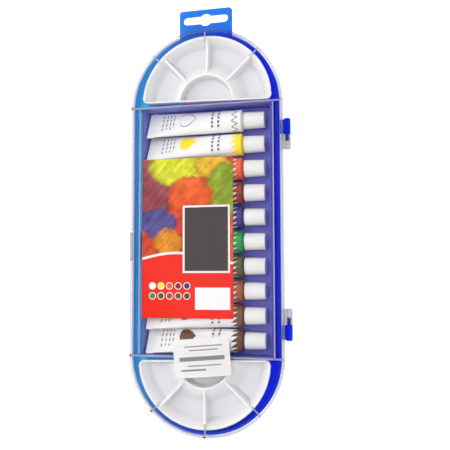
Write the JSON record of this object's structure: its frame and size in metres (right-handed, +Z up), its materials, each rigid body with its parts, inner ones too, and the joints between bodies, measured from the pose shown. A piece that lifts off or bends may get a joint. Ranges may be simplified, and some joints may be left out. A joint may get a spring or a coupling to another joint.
{
  "type": "watercolour paint box",
  "caption": "Long round-ended paint box with a hinged clear lid, mixing palettes in its ends and capped paint tubes across its middle.",
  "frame": {"origin": "centre of the flat underside of the case", "axes": "+X towards the hinge side, +Y along the box towards the hang tab, +Z up through the lid"},
  "size_m": [0.1152, 0.2934, 0.0211],
  "materials": {
    "case_blue": "glossy moulded plastic, slightly translucent where thin",
    "lid_clear": "clear moulded plastic",
    "palette_white": "white moulded plastic, satin",
    "tube_laminate": "white printed tube laminate, satin",
    "cap_white": "white moulded plastic, satin",
    "card_print": "printed coated card",
    "sticker_paper": "white label paper"
  },
  "bodies": {
    "case": {"case": "case_blue", "palette_upper": "palette_white", "palette_lower": "palette_white", "tube_01": "tube_laminate", "tube_02": "tube_laminate", "tube_03": "tube_laminate", "tube_04": "tube_laminate", "tube_05": "tube_laminate", "tube_06": "tube_laminate", "tube_07": "tube_laminate", "tube_08": "tube_laminate", "tube_09": "tube_laminate", "tube_10": "tube_laminate", "card_insert": "card_print"},
    "lid": {"lid": "lid_clear", "price_sticker": "sticker_paper"},
    "latch": {"latch_tab": "lid_clear"},
    "cap_01": {"cap_01": "cap_white"},
    "cap_02": {"cap_02": "cap_white"},
    "cap_03": {"cap_03": "cap_white"},
    "cap_04": {"cap_04": "cap_white"},
    "cap_05": {"cap_05": "cap_white"},
    "cap_06": {"cap_06": "cap_white"},
    "cap_07": {"cap_07": "cap_white"},
    "cap_08": {"cap_08": "cap_white"},
    "cap_09": {"cap_09": "cap_white"},
    "cap_10": {"cap_10": "cap_white"}
  },
  "joints": [
    {"name": "lid_hinge", "type": "hinge", "parent": "case", "child": "lid", "pos_m": [0.056, 0, 0.012], "axis": [0, 1, 0], "range_deg": [0, 180]},
    {"name": "latch_flex", "type": "hinge", "parent": "lid", "child": "latch", "pos_m": [-0.0534, -0.011, 0.01735], "axis": [0, 1, 0], "range_deg": [0, 12], "stiffness_Nm_per_rad": 0.05},
    {"name": "cap_01_turn", "type": "hinge", "parent": "case", "child": "cap_01", "pos_m": [0.0244, 0.0753, 0.00925], "axis": [1, 0, 0], "range_deg": [0, 720]},
    {"name": "cap_02_turn", "type": "hinge", "parent": "case", "child": "cap_02", "pos_m": [0.0244, 0.05855, 0.00925], "axis": [1, 0, 0], "range_deg": [0, 720]},
    {"name": "cap_03_turn", "type": "hinge", "parent": "case", "child": "cap_03", "pos_m": [0.0244, 0.0418, 0.00925], "axis": [1, 0, 0], "range_deg": [0, 720]},
    {"name": "cap_04_turn", "type": "hinge", "parent": "case", "child": "cap_04", "pos_m": [0.0244, 0.02505, 0.00925], "axis": [1, 0, 0], "range_deg": [0, 720]},
    {"name": "cap_05_turn", "type": "hinge", "parent": "case", "child": "cap_05", "pos_m": [0.0244, 0.0083, 0.00925], "axis": [1, 0, 0], "range_deg": [0, 720]},
    {"name": "cap_06_turn", "type": "hinge", "parent": "case", "child": "cap_06", "pos_m": [0.0244, -0.00845, 0.00925], "axis": [1, 0, 0], "range_deg": [0, 720]},
    {"name": "cap_07_turn", "type": "hinge", "parent": "case", "child": "cap_07", "pos_m": [0.0244, -0.0252, 0.00925], "axis": [1, 0, 0], "range_deg": [0, 720]},
    {"name": "cap_08_turn", "type": "hinge", "parent": "case", "child": "cap_08", "pos_m": [0.0244, -0.04195, 0.00925], "axis": [1, 0, 0], "range_deg": [0, 720]},
    {"name": "cap_09_turn", "type": "hinge", "parent": "case", "child": "cap_09", "pos_m": [0.0244, -0.0587, 0.00925], "axis": [1, 0, 0], "range_deg": [0, 720]},
    {"name": "cap_10_turn", "type": "hinge", "parent": "case", "child": "cap_10", "pos_m": [0.0244, -0.07545, 0.00925], "axis": [1, 0, 0], "range_deg": [0, 720]}
  ]
}
